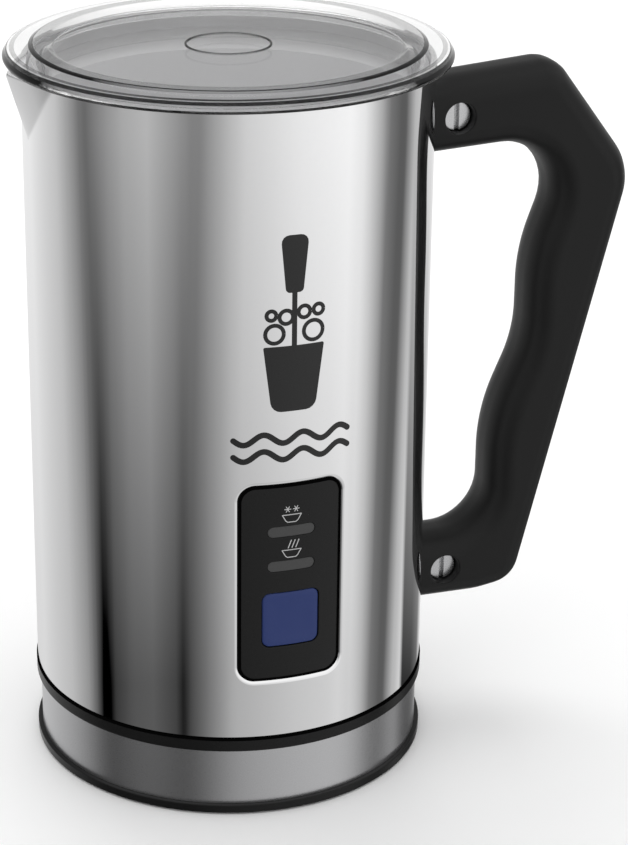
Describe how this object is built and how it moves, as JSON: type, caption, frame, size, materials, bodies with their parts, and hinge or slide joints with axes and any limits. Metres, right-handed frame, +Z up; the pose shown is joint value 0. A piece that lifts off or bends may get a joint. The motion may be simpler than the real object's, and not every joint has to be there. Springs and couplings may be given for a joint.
{
  "type": "milk frother",
  "caption": "Steel milk frother jug with a clear lid, pouring spout, side handle, one-button panel and magnetic whisk, on a round cordless power base.",
  "frame": {"origin": "centre of the underside, on the jug's axis, at the height of the surface it stands on", "axes": "+Z up along the jug's axis, +X towards the handle, -X towards the spout, -Y towards the control panel"},
  "size_m": [0.1662, 0.114, 0.1915],
  "materials": {
    "polished_steel": "mirror-polished stainless steel",
    "brushed_steel": "stainless steel brushed round the circumference",
    "satin_steel": "satin stainless steel",
    "screw_steel": "turned steel with a sawn slot",
    "bright_steel": "bright zinc-plated or stainless steel",
    "motor_steel": "zinc-plated steel can",
    "magnet_nickel": "nickel-plated magnet",
    "plate_aluminium": "pressed aluminium",
    "element_metal": "oxidised steel sheath",
    "contact_brass": "drawn brass",
    "black_plastic": "fine satin moulding",
    "handle_plastic": "fine matt moulding",
    "dark_plastic": "plain matt moulding",
    "panel_plastic": "satin-gloss moulding",
    "window_plastic": "smoked light window",
    "button_plastic": "translucent blue moulding",
    "relay_plastic": "glossy relay case",
    "wire_sleeve": "insulated leads",
    "led_clear": "clear epoxy",
    "board_green": "solder-masked board",
    "vessel_coating": "grey non-stick coating",
    "lid_clear": "clear moulded plastic",
    "gasket_silicone": "translucent silicone",
    "rubber": "soft black rubber"
  },
  "bodies": {
    "base": {"foot_ring": "rubber", "base_pan": "black_plastic", "base_band": "brushed_steel", "base_top_cover": "black_plastic", "base_connector": "dark_plastic", "base_contacts": "contact_brass", "base_screws": "bright_steel", "cord_gland": "rubber", "base_wires": "wire_sleeve"},
    "jug": {"outer_shell": "polished_steel", "inner_vessel": "vessel_coating", "whisk_pin": "bright_steel", "trim_ring": "black_plastic", "bottom_cover": "black_plastic", "bottom_screws": "bright_steel", "jug_connector": "dark_plastic", "jug_contacts": "contact_brass", "chassis_posts": "bright_steel", "handle": "handle_plastic", "upper_bracket": "satin_steel", "lower_bracket": "satin_steel", "handle_screws": "screw_steel", "handle_nuts": "bright_steel", "heat_plate": "plate_aluminium", "heating_element": "element_metal", "thermostat": "dark_plastic", "temperature_sensor": "bright_steel", "thermal_fuse": "bright_steel", "motor_can": "motor_steel", "motor_bracket": "satin_steel", "motor_screws": "bright_steel", "panel_bezel": "panel_plastic", "cold_window": "window_plastic", "hot_window": "window_plastic", "control_board": "board_green", "board_screws": "bright_steel", "indicator_leds": "led_clear", "switch_body": "dark_plastic", "relay": "relay_plastic", "capacitors": "dark_plastic"},
    "rotor": {"motor_shaft": "bright_steel", "drive_rotor": "dark_plastic", "drive_magnets": "magnet_nickel"},
    "button": {"button_cap": "button_plastic", "switch_plunger": "dark_plastic"},
    "whisk": {"whisk_hub": "dark_plastic", "whisk_coil": "bright_steel", "whisk_magnets": "magnet_nickel"},
    "lid": {"lid": "lid_clear", "lid_gasket": "gasket_silicone"}
  },
  "joints": [
    {"name": "jug_lift", "type": "slide", "parent": "base", "child": "jug", "axis": [0, 0, 1], "range_m": [0, 0.06]},
    {"name": "lid_lift", "type": "slide", "parent": "jug", "child": "lid", "axis": [0, 0, 1], "range_m": [0, 0.05]},
    {"name": "button_press", "type": "slide", "parent": "jug", "child": "button", "axis": [0, 1, 0], "range_m": [0, 0.001], "stiffness_N_per_m": 1500, "springref_m": -0.0004},
    {"name": "drive_spin", "type": "hinge", "parent": "jug", "child": "rotor", "pos_m": [0, 0, 0.088], "axis": [0, 0, 1], "continuous": true},
    {"name": "whisk_spin", "type": "hinge", "parent": "jug", "child": "whisk", "pos_m": [0, 0, 0.1], "axis": [0, 0, 1], "continuous": true}
  ],
  "couplings": [
    {"joint": "whisk_spin", "follows": "drive_spin", "ratio": 1}
  ]
}
